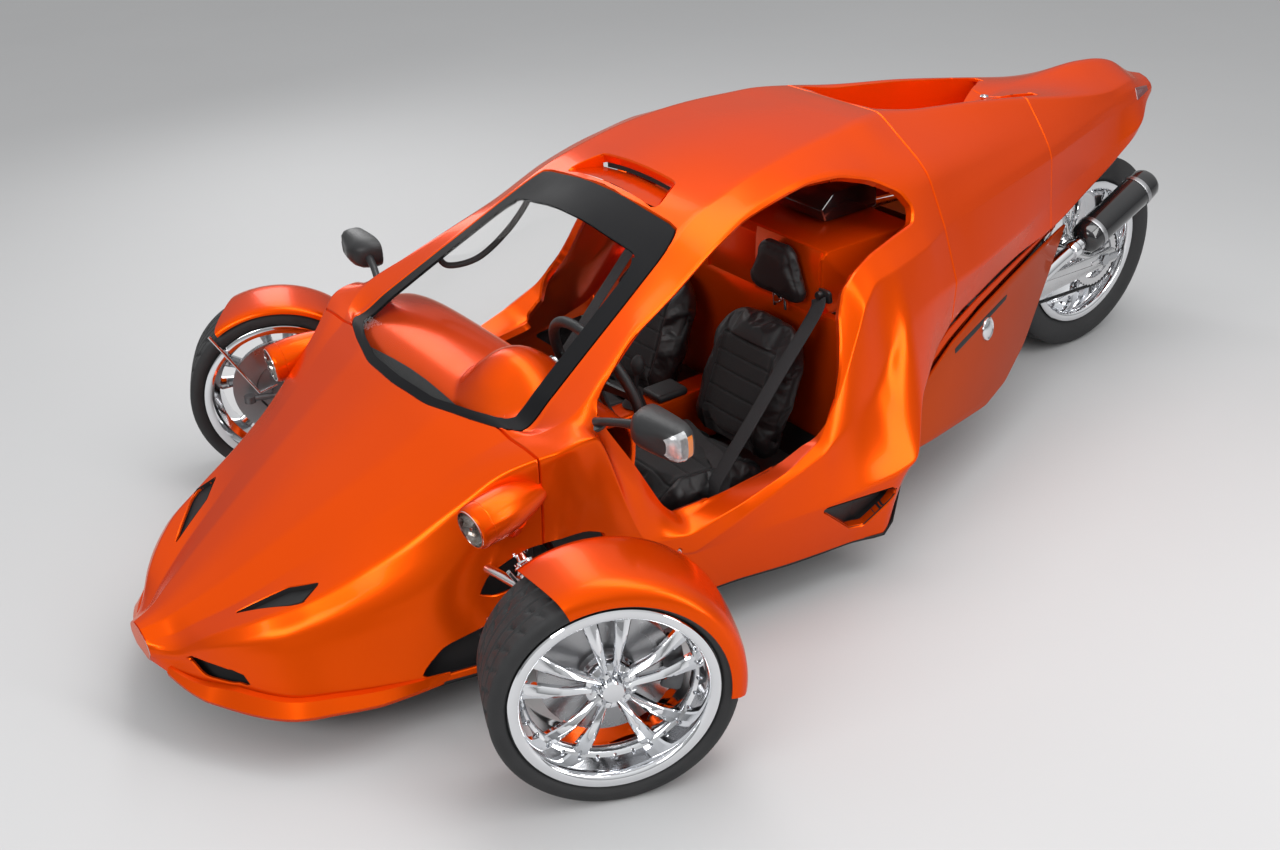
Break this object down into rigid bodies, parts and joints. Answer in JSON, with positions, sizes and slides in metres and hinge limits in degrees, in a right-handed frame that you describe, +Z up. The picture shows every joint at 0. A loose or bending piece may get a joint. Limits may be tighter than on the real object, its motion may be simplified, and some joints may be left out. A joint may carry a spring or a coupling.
{
  "type": "three wheeled car",
  "caption": "Low two-seat reverse-trike coupe with open sides, cycle fenders, steered front wheels and one driven rear wheel.",
  "frame": {"origin": "on the ground, under the middle of the car's length and width", "axes": "-Y towards the nose, +X towards the driver's side, +Z up"},
  "size_m": [2.1836, 3.555, 1.06],
  "materials": {
    "body_paint": "gloss",
    "cover_orange": "satin",
    "tyre": "matte",
    "wheel_chrome": "polished",
    "disc_steel": "brushed",
    "cast_steel": "cast",
    "caliper_grey": "satin",
    "polished_steel": "polished",
    "spring_chrome": "polished",
    "frame_black": "satin",
    "engine_grey": "cast",
    "polished_alloy": "polished",
    "exhaust_black": "satin",
    "clear_glass": "clear",
    "lamp_glass": "clear",
    "lamp_red": "gloss",
    "soft_black": "satin",
    "trim_black": "matte",
    "grip_black": "matte"
  },
  "bodies": {
    "chassis": {"bulkhead": "body_paint", "cabin_shell": "body_paint", "coilover_left": "spring_chrome", "coilover_right": "spring_chrome", "dashboard": "body_paint", "engine_block": "engine_grey", "exhaust": "exhaust_black", "floor_pan": "trim_black", "front_frame": "frame_black", "headlamp_left": "lamp_glass", "headlamp_pod_left": "body_paint", "headlamp_pod_right": "body_paint", "headlamp_right": "lamp_glass", "headrest_left": "soft_black", "headrest_right": "soft_black", "mirror_left": "body_paint", "mirror_right": "body_paint", "nose": "body_paint", "rear_cradle": "frame_black", "rear_quarters": "body_paint", "rear_shelf": "trim_black", "seat_base_left": "trim_black", "seat_base_right": "trim_black", "seat_left": "soft_black", "seat_right": "soft_black", "side_cover_left": "cover_orange", "side_cover_right": "cover_orange", "steering_column": "trim_black", "steering_rack": "polished_steel", "swing_arm": "polished_alloy", "tail": "body_paint", "tail_lamps": "lamp_red", "tunnel": "body_paint", "windscreen": "clear_glass", "wishbones_left": "polished_steel", "wishbones_right": "polished_steel"},
    "steer_left": {"caliper_left": "caliper_grey", "fender_left": "body_paint", "fender_stays_left": "polished_steel", "upright_left": "cast_steel"},
    "steer_right": {"caliper_right": "caliper_grey", "fender_right": "body_paint", "fender_stays_right": "polished_steel", "upright_right": "cast_steel"},
    "wheel_left": {"disc_left": "disc_steel", "rim_left": "wheel_chrome", "tyre_left": "tyre"},
    "wheel_right": {"disc_right": "disc_steel", "rim_right": "wheel_chrome", "tyre_right": "tyre"},
    "rear_wheel": {"rear_pulley": "polished_alloy", "rear_rim": "wheel_chrome", "rear_tyre": "tyre"},
    "steering_wheel": {"steering_wheel": "grip_black"}
  },
  "joints": [
    {"name": "steer_left", "type": "hinge", "parent": "chassis", "child": "steer_left", "pos_m": [0.832, -1.04, 0.272], "axis": [0, 0, 1], "range_deg": [-6.5, 53.5]},
    {"name": "steer_right", "type": "hinge", "parent": "chassis", "child": "steer_right", "pos_m": [-0.832, -1.04, 0.272], "axis": [0, 0, 1], "range_deg": [-6.5, 53.5]},
    {"name": "steering_wheel_turn", "type": "hinge", "parent": "chassis", "child": "steering_wheel", "pos_m": [0.232, -0.62, 0.59], "axis": [0, 0.9439, 0.3304], "range_deg": [-268.5, 33.5]},
    {"name": "wheel_left_roll", "type": "hinge", "parent": "steer_left", "child": "wheel_left", "pos_m": [0.88336, -1.06233, 0.272], "axis": [0.9171, -0.3987, 0], "continuous": true},
    {"name": "wheel_right_roll", "type": "hinge", "parent": "steer_right", "child": "wheel_right", "pos_m": [-0.88336, -1.01767, 0.272], "axis": [0.9171, -0.3987, 0], "continuous": true},
    {"name": "rear_wheel_roll", "type": "hinge", "parent": "chassis", "child": "rear_wheel", "pos_m": [0, 1.43, 0.328], "axis": [1, 0, 0], "continuous": true}
  ],
  "couplings": [
    {"joint": "steer_right", "follows": "steer_left", "ratio": 1},
    {"joint": "steering_wheel_turn", "follows": "steer_left", "ratio": -5}
  ]
}
